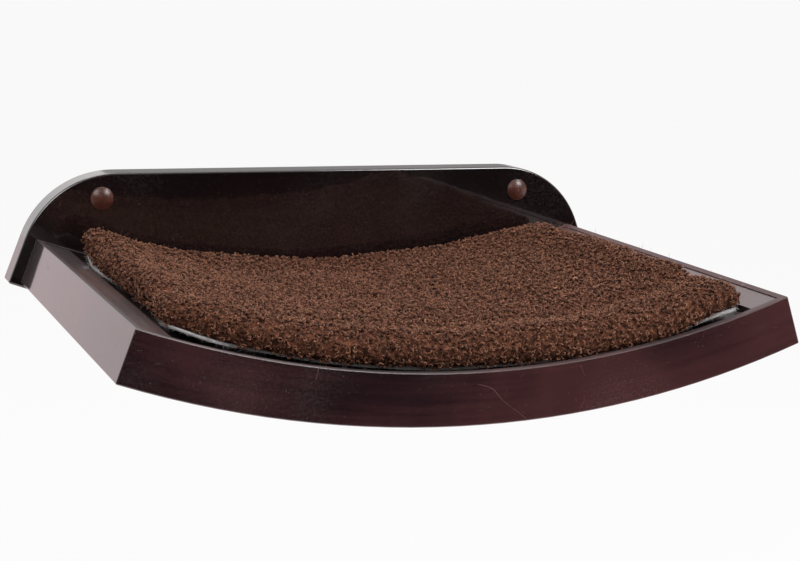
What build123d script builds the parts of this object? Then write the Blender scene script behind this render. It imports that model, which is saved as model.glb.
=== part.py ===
"""Wall-mounted cat hammock: a curved tray carried on a backboard, with a loose fleece pad.

Millimetres. X runs along the wall, -Y out into the room, Z up. The origin lies on the
wall, on the backboard's back face, midway between the two wall screws.
The tray is one curve: every board, panel and rib is cut from rings about one centre.
"""

import os
from math import asin, cos, pi, sin

from build123d import *

# Tray: the curve and the boards round its edge
tray_width = 550.0  # chord across the lower corners of the front board
tray_depth = 380.0  # from the backboard's face to the front board's face
rim_radius = 769.0  # the curve of the boards' top edges
rim_height = 41.0  # height of the boards, towards the centre of the curve
board_thickness = 6.0
arris_radius = 1.2  # rounding of the tray's outer edges

# Rails inside the end boards, and the panels they carry
rail_width = 24.0
rail_drop = 0.8  # shadow line between a rail and the boards round it
bed_recess = 7.0
bed_thickness = 9.0
housing_depth = 8.0  # groove in each rail that takes the bed's end
bottom_thickness = 4.0
bottom_recess = 1.0
rib_width = 18.0
rib_count = 3

# Backboard
backboard_thickness = 25.0
backboard_drop = 4.0  # how far it shows below the tray
backboard_overhang = 10.0  # how far it shows past each end of the tray
backboard_height = 144.0  # flat top edge, above the tray's lowest point
shoulder_radius = 87.0  # rounding of the two top corners
foot_radius = 2.0  # rounding of the two lower corners
backboard_arris = 2.0

# Wall screws, their washers and the button caps over them
screw_spacing = 406.4  # two wall studs at 16 inches
screw_height = 121.5  # above the tray's lowest point
wall_screw_shank = 6.4
wall_screw_thread = 5.8
wall_screw_length = 65.0  # under the head
wall_screw_point = 8.0
wall_screw_tip = 1.2  # diameter of its blunt end
wall_screw_hole = 7.4
hex_width = 11.0
hex_height = 4.5
washer_diameter = 16.0
washer_thickness = 1.5
counterbore_diameter = 17.0
counterbore_depth = 10.0
cap_diameter = 20.5
cap_edge = 1.6
cap_round = 1.0
cap_height = 4.4
cap_wall = 1.5
cap_skirt = 5.0
cap_clearance = 0.2

# Screws and dowels that join the tray to the backboard
fixing_length = 70.0
fixing_shank = 7.0
fixing_core = 5.6
fixing_head = 10.0
fixing_head_depth = 4.0
fixing_socket = 4.0
fixing_socket_depth = 2.8
fixing_sink = 0.5
fixing_inset = 15.0  # from the tray's end face to the screw and dowel in each rail
rail_fixing_depth = 9.5  # below the rail's top
dowel_diameter = 8.0
dowel_length = 50.0
dowel_in_tray = 37.5  # how much of it lies past the backboard's and rear board's middle
dowel_depth = 26.0  # below the rail's top

# Screws that hold the bottom panel
bottom_screw_length = 16.0
bottom_screw_shank = 3.5
bottom_screw_head = 7.0
bottom_screw_slot = 0.9
bottom_screw_slot_length = 4.3
bottom_screw_slot_depth = 1.1
bottom_screw_rows = 3
bottom_screw_margin = 45.0
bottom_screw_sink = 0.4

# Pad: a foam core in a fleece cover, on a felt base held by four touch patches
patch_width = 25.0
patch_length = 80.0
patch_thickness = 1.5
glue_line = 0.05
patch_margin = 45.0
patch_angle_share = 0.7  # of the way from the middle of the bed to its end
base_thickness = 2.5
pad_thickness = 26.0  # over the fleece, at its ridges
pad_dish = 4.0  # how far the middle lies below the ridges
pad_shoulder = 6.4  # how far the front and rear edges lie below the ridges
pad_slope = 0.5  # rise of the pad's top at its front and rear edges
pad_ridge = 38.0  # from the pad's edge to the top of its ridge
pad_edge_radius = 8.0
pad_corner_radius = 20.0
cover_wall = 5.0  # backing cloth and pile
cover_back = 1.0  # plain cloth under the foam
side_gap = 1.5  # between the pad and the rails' inner edges
side_draw = 3.0  # how far the pad's sides pull in between its corners
rear_gap = 1.0
front_gap_left = 40.0  # the pad has slid back at its left front corner
front_gap_middle = 5.0
front_gap_right = 14.0
base_inset = 1.0  # the felt base lies this far inside the fleece's widest line
soft_clearance = 0.3  # between the pad's solids and the tray's

# How far cutting shapes reach past what they cut, and how closely edges are picked
overcut = 1.0
tolerance = 0.01

# Worked out from the sizes above
outer_radius = rim_radius + rim_height
end_angle = asin(tray_width / 2 / outer_radius)
centre_z = outer_radius - screw_height
back_y = -backboard_thickness
front_y = back_y - tray_depth
inner_front_y = front_y + board_thickness
inner_back_y = back_y - board_thickness
inner_length = inner_back_y - inner_front_y
counterbore_floor = back_y + counterbore_depth
rail_top = rim_radius + rail_drop
bed_top = rim_radius + bed_recess
bed_under = bed_top + bed_thickness
bottom_under = outer_radius - bottom_recess
bottom_top = bottom_under - bottom_thickness
bottom_screw_low = centre_z - bottom_under + bottom_screw_sink
rail_inset = board_thickness + rail_width
patch_under = bed_top - glue_line
patch_top = patch_under - patch_thickness
loop_under = patch_top - soft_clearance
loop_top = loop_under - patch_thickness
base_top = loop_top - base_thickness
curve_axis = Axis((0, 0, centre_z), (0, 1, 0))
centre_radius = rim_radius / 2  # so far in that a chord at it clears the whole curve
outside_radius = 2 * outer_radius  # so far out that a chord to it clears the whole curve
full_height = 2 * backboard_height


def at(radius, angle, inset=0.0):
    """Point (x, z) at a radius and angle of the tray's curve, moved back along it by inset."""
    return (
        radius * sin(angle) - inset * cos(angle),
        centre_z - radius * cos(angle) - inset * sin(angle),
    )


def ring(top, under, angle=end_angle):
    """Face in the XZ plane between two radii of the curve, from -angle to +angle."""
    edges = [
        ThreePointArc(at(top, -angle), at(top, 0), at(top, angle)),
        Line(at(top, angle), at(under, angle)),
        ThreePointArc(at(under, angle), at(under, 0), at(under, -angle)),
        Line(at(under, -angle), at(top, -angle)),
    ]
    return make_face(edges)


def strip(angle, first, last):
    """Long face along the radius at an angle, between two insets from that radius."""
    corners = [at(centre_radius, angle, first), at(outside_radius, angle, first)]
    corners += [at(outside_radius, angle, last), at(centre_radius, angle, last)]
    return make_face(Polyline(*corners, close=True))


def between_ends(inset):
    """Face that covers the tray's curve up to an inset from both end faces."""
    corners = [at(centre_radius, end_angle, inset), at(outside_radius, end_angle, inset)]
    corners += [(-x, z) for x, z in reversed(corners)]
    return make_face(Polyline(*corners, close=True))


def run(face, near_y, far_y):
    """Solid with a flat face's outline in X and Z, from near_y out to far_y."""
    return extrude(Pos(0, near_y, 0) * (Plane.XZ * face), near_y - far_y, dir=(0, -1, 0))


def mirrored(shape):
    return mirror(shape, about=Plane.YZ)


def turned(shape, angle):
    """A shape made under the lowest point of the curve, moved along it by an angle."""
    return shape.rotate(curve_axis, -angle * 180 / pi)


def end_frame(radius):
    """Plane square to the right end face's radius: x runs into the tray, y towards the wall."""
    x, z = at(radius, end_angle)
    inward = (-cos(end_angle), 0, -sin(end_angle))
    outward = (sin(end_angle), 0, -cos(end_angle))
    return Plane(origin=(x, 0, z), x_dir=inward, z_dir=outward)


def mitre_wedge(own):
    """Triangle behind the right front corner: the end board's share of it, or the front board's."""
    reach = board_thickness
    third = (0, front_y + reach) if own == "end" else (reach, front_y)
    corners = [(0, front_y), (reach, front_y + reach), third]
    face = make_face(Polyline(*corners, close=True))
    frame = end_frame(rim_radius - overcut)
    return extrude(frame * face, rim_height + 2 * overcut, dir=frame.z_dir)


def tray_border():
    """Front and end boards in one piece, with their outer edges rounded."""
    outer = run(ring(rim_radius, outer_radius), back_y, front_y)
    inner = run(between_ends(board_thickness), back_y + overcut, inner_front_y)
    border = outer - inner
    front = border.edges().filter_by_position(Axis.Y, front_y - tolerance, front_y + tolerance)
    ends = [at(rim_radius, end_angle)[0], at(outer_radius, end_angle)[0]]
    sides = [
        edge
        for edge in border.edges().filter_by(Axis.Y)
        if any(abs(abs(edge.center().X) - x) < tolerance for x in ends)
    ]
    return fillet(list(front) + sides, arris_radius)


def border_boards():
    """The border cut at its mitred corners into the front board and the right end board."""
    border = tray_border()
    slab = run(strip(end_angle, -overcut, board_thickness), back_y, front_y - overcut)
    right_end = (border & slab) - mitre_wedge("front")
    across = run(between_ends(-overcut), inner_front_y, front_y - overcut)
    wedge = mitre_wedge("end")
    front = (border & across) - wedge - mirrored(wedge)
    return front, right_end


def rear_board():
    return run(ring(rim_radius, outer_radius) & between_ends(board_thickness), back_y, inner_back_y)


def right_rail():
    body = ring(rail_top, bottom_top) & strip(end_angle, board_thickness, rail_inset)
    groove = ring(bed_top, bed_under) & strip(end_angle, rail_inset - housing_depth, rail_inset + overcut)
    return run(body - groove, inner_back_y, inner_front_y)


def bed_panel():
    face = ring(bed_top, bed_under) & between_ends(rail_inset - housing_depth)
    return run(face, inner_back_y, inner_front_y)


def bottom_panel():
    face = ring(bottom_top, bottom_under) & between_ends(board_thickness)
    return run(face, inner_back_y, inner_front_y)


def rib_angles():
    """Angles that part the bed between the rails into equal bays."""
    half = end_angle - rail_inset / bed_under
    return [half * (2 * (i + 1) / (rib_count + 1) - 1) for i in range(rib_count)]


def rib(angle):
    face = ring(bed_under, bottom_top) & strip(angle, -rib_width / 2, rib_width / 2)
    return run(face, inner_back_y, inner_front_y)


def backboard_outline():
    """Curved lower edge, ends cut to the curve's radius, rounded shoulders and a flat top."""
    low = outer_radius + backboard_drop
    angle = end_angle + backboard_overhang / outer_radius
    top = backboard_height - screw_height
    foot = at(low, angle)
    corner = at((centre_z - top) / cos(angle), angle)
    left_foot, left_corner = ((-x, z) for x, z in (foot, corner))
    edges = [
        ThreePointArc(left_foot, at(low, 0), foot),
        Polyline(foot, corner, left_corner, left_foot),
    ]
    outline = make_face(edges)
    outline = fillet(outline.vertices().sort_by(Axis.Y)[-2:], shoulder_radius)
    return fillet(outline.vertices().group_by(Axis.Y)[0], foot_radius)


def backboard():
    board = run(backboard_outline(), 0, back_y)
    face_edges = board.edges().filter_by_position(Axis.Y, back_y - tolerance, back_y + tolerance)
    board = fillet(face_edges, backboard_arris)
    for side in (-1, 1):
        x = side * screw_spacing / 2
        board -= rod(x, 0, wall_screw_hole / 2, overcut, back_y)
        board -= rod(x, 0, counterbore_diameter / 2, counterbore_floor, back_y - overcut)
    return board


def rod(x, z, radius, near_y, far_y):
    return run(Pos(x, z) * Circle(radius), near_y, far_y)


def cone(x, z, near_radius, far_radius, near_y, far_y):
    """Cone along Y, from its radius at near_y to its radius at far_y, further from the wall."""
    height = near_y - far_y
    shape = Cone(near_radius, far_radius, height, align=(Align.CENTER, Align.CENTER, Align.MIN))
    return Pos(x, near_y, z) * Rot(90, 0, 0) * shape


def wall_screw(x):
    """Hexagon-head screw: plain through the backboard, threaded and pointed in the wall."""
    seat = counterbore_floor - washer_thickness
    tip = seat + wall_screw_length
    hexagon = RegularPolygon(hex_width / 2, 6, major_radius=False)
    head = run(Pos(x, 0) * hexagon, seat, seat - hex_height)
    plain = rod(x, 0, wall_screw_shank / 2, 0, seat)
    thread = rod(x, 0, wall_screw_thread / 2, tip - wall_screw_point, 0)
    point = cone(x, 0, wall_screw_tip / 2, wall_screw_thread / 2, tip, tip - wall_screw_point)
    return head + plain + thread + point


def wall_washer(x):
    seat = counterbore_floor
    outer = rod(x, 0, washer_diameter / 2, seat, seat - washer_thickness)
    hole_end = seat - washer_thickness - overcut
    return outer - rod(x, 0, wall_screw_hole / 2, seat + overcut, hole_end)


def screw_cap(x):
    """Button cap: a shallow dome with a rounded edge, and a skirt in the counterbore."""
    radius = cap_diameter / 2
    shoulder = radius - cap_round
    rise = cap_height - cap_edge
    dome = (shoulder**2 + rise**2) / (2 * rise)
    half = asin(shoulder / dome) / 2
    crown = (dome * sin(half), back_y - cap_height + dome - dome * cos(half))
    slack = cap_round * (1 - sin(pi / 4))
    outer = counterbore_diameter / 2 - cap_clearance
    inner = outer - cap_wall
    edges = [
        ThreePointArc((0, back_y - cap_height), crown, (shoulder, back_y - cap_edge)),
        ThreePointArc(
            (shoulder, back_y - cap_edge),
            (radius - slack, back_y - cap_edge + slack),
            (radius, back_y - cap_edge + cap_round),
        ),
        Polyline(
            (radius, back_y - cap_edge + cap_round),
            (radius, back_y),
            (outer, back_y),
            (outer, back_y + cap_skirt),
            (inner, back_y + cap_skirt),
            (inner, back_y - cap_edge / 2),
            (0, back_y - cap_edge / 2),
            (0, back_y - cap_height),
        ),
    ]
    return Pos(x, 0, 0) * revolve(make_face(edges), Axis.Y)


def fixing_places():
    """Where the long screws cross the backboard: one in each rail, one in each rib."""
    rail = at(rail_top + rail_fixing_depth, end_angle, fixing_inset)
    middle = (bed_under + bottom_top) / 2
    ribs = [at(middle, angle) for angle in rib_angles()]
    return [rail, (-rail[0], rail[1])] + ribs


def dowel_places():
    rail = at(rail_top + dowel_depth, end_angle, fixing_inset)
    return [rail, (-rail[0], rail[1])]


def fixing_screw(x, z, socket=True):
    """Long furniture screw, its sunk head in the backboard's back and its thread in the tray."""
    head_y = -fixing_sink
    neck_y = head_y - fixing_head_depth
    tip_y = head_y - fixing_length
    screw = cone(x, z, fixing_head / 2, fixing_shank / 2, head_y, neck_y)
    screw += rod(x, z, fixing_shank / 2, neck_y, inner_back_y)
    screw += rod(x, z, fixing_core / 2, inner_back_y, tip_y)
    if socket:
        hexagon = RegularPolygon(fixing_socket / 2, 6, major_radius=False)
        screw -= run(Pos(x, z) * hexagon, head_y, head_y - fixing_socket_depth)
    return screw


def fixing_hole(x, z):
    """The long screw's own shape, opened out to the backboard's back face."""
    return fixing_screw(x, z, socket=False) + rod(x, z, fixing_head / 2, overcut, -fixing_sink)


def dowel(x, z):
    tray_end = (back_y + inner_back_y) / 2 - dowel_in_tray
    return rod(x, z, dowel_diameter / 2, tray_end + dowel_length, tray_end)


def bottom_screw_places():
    """Angle and distance from the wall of each bottom screw, under the rails and the ribs."""
    rail_angle = end_angle - (board_thickness + rail_width / 2) / bottom_under
    angles = [-rail_angle] + rib_angles() + [rail_angle]
    first = inner_back_y - bottom_screw_margin
    step = (inner_length - 2 * bottom_screw_margin) / (bottom_screw_rows - 1)
    return [(angle, first - i * step) for angle in angles for i in range(bottom_screw_rows)]


def up_cone(low_radius, high_radius, height):
    """Cone or cylinder that stands on the origin."""
    align = (Align.CENTER, Align.CENTER, Align.MIN)
    if low_radius == high_radius:
        return Cylinder(low_radius, height, align=align)
    return Cone(low_radius, high_radius, height, align=align)


def bottom_screw(angle, y, slots=True):
    """Countersunk screw driven up through the bottom panel, with a crossed slot."""
    head, shank = bottom_screw_head / 2, bottom_screw_shank / 2
    neck = head - shank
    screw = up_cone(head, shank, neck)
    screw += Pos(0, 0, neck) * up_cone(shank, shank, bottom_screw_length - neck)
    if slots:
        slot = Box(bottom_screw_slot_length, bottom_screw_slot, 2 * bottom_screw_slot_depth)
        screw -= [slot, Rot(0, 0, 90) * slot]
    return turned(Pos(0, y, bottom_screw_low) * screw, angle)


def bottom_hole(angle, y):
    """The bottom screw's own shape, opened out through the panel's underside."""
    radius = bottom_screw_head / 2
    mouth = Pos(0, y, bottom_screw_low - bottom_thickness) * up_cone(radius, radius, bottom_thickness)
    return bottom_screw(angle, y, slots=False) + turned(mouth, angle)


def touch_patches(top, under):
    """Four curved patches of touch fastener, two near each end of the bed."""
    angle = (end_angle - rail_inset / bed_top) * patch_angle_share
    face = ring(top, under) & strip(angle, -patch_width / 2, patch_width / 2)
    near = inner_back_y - patch_margin
    far = inner_front_y + patch_margin
    right = [run(face, near, near - patch_length), run(face, far + patch_length, far)]
    return right + [mirrored(patch) for patch in right]


def pad_half_width():
    """Half the pad's width: inside the rails' upper inner edges, which the pad lifts past."""
    return at(rail_top, end_angle, rail_inset)[0] - side_gap


def pad_plan(inset):
    """The pad seen from above: sides that pull in, and a front edge drawn back at its corners.

    Each curved side is a parabola, so its pole lies twice as far in as the side itself does.
    """
    half = pad_half_width() - inset
    rear = inner_back_y - rear_gap - inset
    front = inner_front_y + inset
    left, right = front + front_gap_left, front + front_gap_right
    pull = 2 * (front + front_gap_middle) - (left + right) / 2
    waist = half - 2 * side_draw
    edges = [
        Bezier((-half, left), (0, pull), (half, right)),
        Bezier((half, right), (waist, (right + rear) / 2), (half, rear)),
        Line((half, rear), (-half, rear)),
        Bezier((-half, rear), (-waist, (left + rear) / 2), (-half, left)),
    ]
    plan = make_face(edges)
    return fillet(plan.vertices(), pad_corner_radius - inset)


def pad_body(inset, under, thickness):
    """Closed body over the pad's plan, following the bed's curve and dished between its ridges."""
    rear = inner_back_y
    front = inner_front_y
    base = centre_z - under
    ridge = base + thickness
    edge = ridge - pad_shoulder
    dish = ((front + rear) / 2, ridge - pad_dish)
    ridges = [(front + pad_ridge, ridge), (rear - pad_ridge, ridge)]
    points = [(front, edge), ridges[0], dish, ridges[1], (rear, edge)]
    outline = [
        Spline(*points, tangents=[(1, pad_slope), (1, -pad_slope)]),
        Line((rear, edge), (rear, base)),
        Line((rear, base), (front, base)),
        Line((front, base), (front, edge)),
    ]
    section = make_face([Plane.YZ * edge_line for edge_line in outline])
    start = turned(section, -end_angle)
    body = revolve(start, curve_axis, -2 * end_angle * 180 / pi)
    plan = extrude(Pos(0, 0, base - overcut) * pad_plan(inset), full_height)
    return body & plan


def pad_solids():
    """Fleece cover round its foam core, with every outer edge of the cover rounded."""
    outer = pad_body(0, base_top, pad_thickness)
    outer = fillet(outer.edges(), pad_edge_radius)
    core = pad_body(cover_wall, base_top - cover_back, pad_thickness - cover_back - cover_wall)
    return outer - core, core


def pad_base():
    face = run(ring(base_top, loop_top), inner_back_y, inner_front_y)
    plan = extrude(Pos(0, 0, -full_height / 2) * pad_plan(base_inset), full_height)
    return face & plan


def pair(name, right):
    """The two mirrored pieces of a kind, under their left and right names."""
    return {f"left_{name}": mirrored(right), f"right_{name}": right}


def tray_nodes():
    front, right_end = border_boards()
    nodes = {"front_board": front, "rear_board": rear_board()}
    nodes |= pair("end_board", right_end)
    nodes |= pair("end_rail", right_rail())
    nodes["bed_panel"] = bed_panel()
    nodes["bottom_panel"] = bottom_panel()
    names = ["left_rib", "centre_rib", "right_rib"]
    nodes |= {name: rib(angle) for name, angle in zip(names, rib_angles())}
    return nodes


def bored(nodes):
    """The boards with the holes of the screws and dowels that pass through them."""
    nodes["backboard"] = backboard()
    long_holes = [fixing_hole(x, z) for x, z in fixing_places()]
    long_holes += [dowel(x, z) for x, z in dowel_places()]
    short_holes = [bottom_hole(angle, y) for angle, y in bottom_screw_places()]
    fixed = ["backboard", "rear_board", "left_end_rail", "right_end_rail"]
    framing = ["left_end_rail", "right_end_rail", "left_rib", "centre_rib", "right_rib"]
    for name in set(fixed + framing):
        nodes[name] -= long_holes
    for name in framing + ["bottom_panel"]:
        nodes[name] -= short_holes
    return nodes


def fastener_nodes():
    half = screw_spacing / 2
    nodes = pair("wall_screw", wall_screw(half))
    nodes |= pair("wall_washer", wall_washer(half))
    nodes |= pair("screw_cap", screw_cap(half))
    nodes["tray_screws"] = Compound([fixing_screw(x, z) for x, z in fixing_places()])
    nodes["tray_dowels"] = Compound([dowel(x, z) for x, z in dowel_places()])
    short = [bottom_screw(angle, y) for angle, y in bottom_screw_places()]
    nodes["bottom_screws"] = Compound(short)
    return nodes


def pad_nodes():
    cover, core = pad_solids()
    return {
        "hook_patches": Compound(touch_patches(patch_top, patch_under)),
        "loop_patches": Compound(touch_patches(loop_top, loop_under)),
        "pad_base": pad_base(),
        "pad_core": core,
        "pad_cover": cover,
    }


def main():
    nodes = bored(tray_nodes()) | fastener_nodes() | pad_nodes()
    os.makedirs("parts", exist_ok=True)
    for name, shape in nodes.items():
        export_step(shape, f"parts/{name}.step")
        box = shape.bounding_box()
        print(f"{name:16s} {len(shape.solids()):3d} solids {shape.volume / 1000:9.2f} cm3", box.size)


main()
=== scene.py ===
# %% [markdown]
# # A wall-mounted cat hammock
#
# The hammock is a shallow tray of lacquered boards, bent to one big circle and screwed to
# a backboard on the wall. A fleece pad lies loose in it. The boards, panels and screws come
# as exact shapes from the construction model, which is loaded first as a fixed frame.
# These cells give them their finishes, and model what no exact solid can show: the stuffed
# pad, its curly pile, the felt under it and the threads of the wall screws.

import bpy
import numpy as np
from mathutils import Matrix, Vector


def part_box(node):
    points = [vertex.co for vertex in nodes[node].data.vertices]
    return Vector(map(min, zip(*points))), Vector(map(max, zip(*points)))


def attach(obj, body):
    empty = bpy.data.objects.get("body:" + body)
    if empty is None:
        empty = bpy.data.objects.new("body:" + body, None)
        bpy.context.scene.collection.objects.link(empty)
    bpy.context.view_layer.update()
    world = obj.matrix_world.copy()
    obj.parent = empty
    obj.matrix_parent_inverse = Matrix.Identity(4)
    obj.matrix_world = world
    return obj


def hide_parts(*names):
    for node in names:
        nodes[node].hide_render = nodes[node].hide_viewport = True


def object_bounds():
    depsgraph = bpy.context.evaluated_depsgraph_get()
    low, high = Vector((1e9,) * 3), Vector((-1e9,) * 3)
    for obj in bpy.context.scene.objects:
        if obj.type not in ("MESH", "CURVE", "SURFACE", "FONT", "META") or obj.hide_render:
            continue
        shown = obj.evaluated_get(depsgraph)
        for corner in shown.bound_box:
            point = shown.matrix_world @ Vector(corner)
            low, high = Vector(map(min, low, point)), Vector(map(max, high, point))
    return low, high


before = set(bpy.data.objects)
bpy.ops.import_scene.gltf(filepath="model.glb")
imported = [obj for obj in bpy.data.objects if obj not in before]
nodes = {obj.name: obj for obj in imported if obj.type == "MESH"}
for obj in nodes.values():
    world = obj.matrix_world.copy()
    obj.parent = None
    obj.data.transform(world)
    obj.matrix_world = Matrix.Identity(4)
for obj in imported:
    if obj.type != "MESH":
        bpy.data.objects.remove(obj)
cad_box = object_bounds()
scene = bpy.context.scene
print("boards, panels and fasteners:", len(nodes))

# %% [markdown]
# ## The curve that everything follows
#
# Every board of the tray is cut from a ring about one centre, high above it. A place in the
# tray is then easiest to give as x along the wall, y out from the wall, and a height above
# the bed that is measured towards that centre. The sizes are real ones, in metres.

# %% The tray's curve
OUTER_RADIUS = 0.810  # the boards' lower edges
RIM_RADIUS = 0.769  # their upper edges
BOARD = 0.006
BED_EDGE_X = 0.2325  # inner edges of the rails
CURVE_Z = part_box("front_board")[0].z + OUTER_RADIUS
WALL_FACE_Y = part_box("backboard")[0].y
BACKBOARD_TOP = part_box("backboard")[1].z
FRONT_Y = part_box("front_board")[0].y
INNER_FRONT_Y = FRONT_Y + BOARD
PAD_SEAT = CURVE_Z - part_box("pad_cover")[0].z  # radius of the pad's underside
BED_RADIUS = 0.776  # the bed's upper side
HAIR = 0.0003  # the least gap between soft and hard pieces
EDGE_ROOM = 0.0014  # this near a rail or the front board, soft points already clear its rim


def height_on_curve(x, height):
    """z of a point at x that lies a height above the pad's seat.

    The seat is a circle about the curve's centre, so z is the centre's less the root of
    (seat radius - height) squared less x squared.
    """
    return CURVE_Z - np.sqrt((PAD_SEAT - height) ** 2 - x**2)


print("centre of the curve at z =", round(CURVE_Z, 4), "front face at y =", round(FRONT_Y, 4))

# %% [markdown]
# ## The camera
#
# The camera stands at the left, a little above the tray, and looks down at it with a long
# lens. Its place and turn were solved from the corners and arcs of the tray, so they are
# given as the solver's own values: a place, three angles and a focal length.

# %% The camera
CAMERA_PLACE = (-0.5258, -1.5378, 0.2174)
CAMERA_YAW = np.radians(21.849)  # turned to the right of straight ahead
CAMERA_PITCH = np.radians(10.465)  # looking down
CAMERA_ROLL = np.radians(-1.833)
SENSOR = 36.0
LENS = 78.07
SHIFT = (0.00396, -0.0020)  # the view isn't quite centred on the lens


def camera_axes(yaw, pitch, roll):
    """Right, up and backward axes of a camera that is turned, tipped down and rolled."""
    ahead = np.array([np.sin(yaw) * np.cos(pitch), np.cos(yaw) * np.cos(pitch), -np.sin(pitch)])
    level = np.array([np.cos(yaw), -np.sin(yaw), 0.0])
    down = np.cross(ahead, level)
    right = np.cos(roll) * level + np.sin(roll) * down
    return right, -(np.cos(roll) * down - np.sin(roll) * level), -ahead


camera = bpy.data.objects.new("camera", bpy.data.cameras.new("camera"))
scene.collection.objects.link(camera)
axes = Matrix(np.array(camera_axes(CAMERA_YAW, CAMERA_PITCH, CAMERA_ROLL)).T.tolist())
camera.matrix_world = Matrix.Translation(CAMERA_PLACE) @ axes.to_4x4()
camera.data.sensor_width = SENSOR
camera.data.lens = LENS
camera.data.shift_x, camera.data.shift_y = SHIFT
camera.data.clip_start = 0.05
scene.camera = camera
scene.view_settings.view_transform = "Standard"
print("camera at", CAMERA_PLACE, "with a", LENS, "mm lens")

# %% [markdown]
# ## A small kit for node trees
#
# Every finish below is a network of nodes. Writing each node out by hand hides the idea, so
# these helpers add one node each: a noise, a colour ramp, a sum. What is the same all over a
# surface is set on the shader itself, and only patterns are wired up.

# %% Helpers for finishes


def add(tree, kind, inputs=None, **settings):
    """Adds one node. An input is a plain value, or another node's output to be linked."""
    made = tree.nodes.new("ShaderNode" + kind)
    for name, value in settings.items():
        setattr(made, name, value)
    for name, value in (inputs or {}).items():
        if isinstance(value, bpy.types.NodeSocket):
            tree.links.new(value, made.inputs[name])
        else:
            made.inputs[name].default_value = value
    return made


def new_finish(name, **values):
    """A material with one Principled shader, whose plain values are set on its own sockets."""
    material = bpy.data.materials.new(name)
    material.use_nodes = True
    tree = material.node_tree
    shader = tree.nodes["Principled BSDF"]
    for key, value in values.items():
        shader.inputs[key.replace("_", " ")].default_value = value
    return material, tree, shader


def sums(tree, operation, first, second=0.0, third=0.0, clamp=False):
    inputs = {0: first, 1: second, 2: third}
    return add(tree, "Math", inputs, operation=operation, use_clamp=clamp).outputs[0]


def noise(tree, place, scale, detail=2.0, distortion=0.0):
    inputs = {"Vector": place, "Scale": scale, "Detail": detail, "Distortion": distortion}
    return add(tree, "TexNoise", inputs).outputs["Fac"]


def stretched(tree, place, scale):
    return add(tree, "Mapping", {"Vector": place, "Scale": scale}).outputs["Vector"]


def step_between(tree, value, low, high, start=0.0, end=1.0):
    """A smooth step of a value from low to high, given out from start to end."""
    inputs = {"Value": value, "From Min": low, "From Max": high, "To Min": start, "To Max": end}
    return add(tree, "MapRange", inputs, interpolation_type="SMOOTHSTEP").outputs["Result"]


def mixed(tree, share, first, second):
    """A mix of two colours, by a share from 0 to 1."""
    made = add(tree, "Mix", {0: share}, data_type="RGBA")
    for index, value in ((6, first), (7, second)):
        if isinstance(value, bpy.types.NodeSocket):
            tree.links.new(value, made.inputs[index])
        else:
            made.inputs[index].default_value = (*value, 1.0)
    return made.outputs[2]


def wire(tree, shader, **values):
    """Links outputs of nodes to the shader's sockets that the keywords name."""
    for key, value in values.items():
        tree.links.new(value, shader.inputs[key.replace("_", " ")])


def link_bump(tree, shader, height, depth, socket="Normal"):
    """Raises a shader's surface by a height from 0 to 1, times a depth in metres."""
    bump = add(tree, "Bump", {"Height": height, "Distance": depth, "Strength": 1.0})
    wire(tree, shader, **{socket: bump.outputs["Normal"]})


# %% [markdown]
# ## Places in the wood
#
# Grain, scratches and dust on a bent board run along its curve. So the patterns don't read
# plain x, y and z, but the way along the curve, the way out from the wall, and the distance
# from the curve's centre. That turns each bent board into a straight one for the pattern.

# %% Coordinates that follow the curve


def along_the_curve(tree):
    """(metres along the rim, y, metres from the curve's centre) of a point of the piece."""
    place = add(tree, "TexCoord").outputs["Object"]
    split = add(tree, "SeparateXYZ", {0: place}).outputs
    drop = sums(tree, "SUBTRACT", CURVE_Z, split["Z"])
    angle = sums(tree, "ARCTAN2", split["X"], drop)
    along = sums(tree, "MULTIPLY", angle, RIM_RADIUS)
    flat = add(tree, "CombineXYZ", {0: split["X"], 2: drop}).outputs[0]
    out = add(tree, "VectorMath", {0: flat}, operation="LENGTH").outputs["Value"]
    return add(tree, "CombineXYZ", {0: along, 1: split["Y"], 2: out}).outputs[0]


def straight_place(tree):
    return add(tree, "TexCoord").outputs["Object"]


def patterned(name, place_of, pattern, span, tones, depth, **values):
    """A finish between two tones by one pattern, which also raises the surface by a depth.

    span is where the step from the first tone to the second starts and ends, or None where the
    pattern itself is the share of the second tone.
    """
    material, tree, shader = new_finish(name, **values)
    height = pattern(tree, place_of(tree))
    share = step_between(tree, height, *span) if span else height
    wire(tree, shader, Base_Color=mixed(tree, share, *tones))
    link_bump(tree, shader, height, depth)
    return material


# %% [markdown]
# ## Dark lacquer
#
# The boards carry a dark red-brown stain under a clear gloss lacquer. A shelf in use is never
# clean: it has hairline scratches, specks of dust that take the gloss off, and a faint ripple
# in the lacquer. Scratches are drawn where a soft noise crosses its middle value, which gives
# long thin wandering lines. Specks are the middles of small random cells.

# %% Lacquer
DUST = (0.30, 0.25, 0.23)
SCRATCH = (0.20, 0.12, 0.11)
RIPPLE, COAT_RIPPLE = 0.00006, 0.00004  # of the wood and of the lacquer over it


def hairlines(tree, place, scale, width, share):
    """Thin wandering lines, kept only in the share of the surface where a second noise is high."""
    field = noise(tree, place, scale, 1.0, 1.2)
    away = sums(tree, "ABSOLUTE", sums(tree, "SUBTRACT", field, 0.5))
    line = step_between(tree, away, 0.0, width, 1.0, 0.0)
    kept = step_between(tree, noise(tree, place, scale * 2.3, 1.0), 1.0 - share, 1.05 - share)
    return sums(tree, "MULTIPLY", line, kept)


def specks(tree, place, scale, size, share):
    """Dots in a random share of small cells."""
    cells = add(tree, "TexVoronoi", {"Vector": place, "Scale": scale})
    dot = step_between(tree, cells.outputs["Distance"], size * 0.5, size, 1.0, 0.0)
    pick = add(tree, "SeparateColor", {0: cells.outputs["Color"]}).outputs[0]
    return sums(tree, "MULTIPLY", dot, sums(tree, "GREATER_THAN", pick, 1.0 - share))


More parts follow.
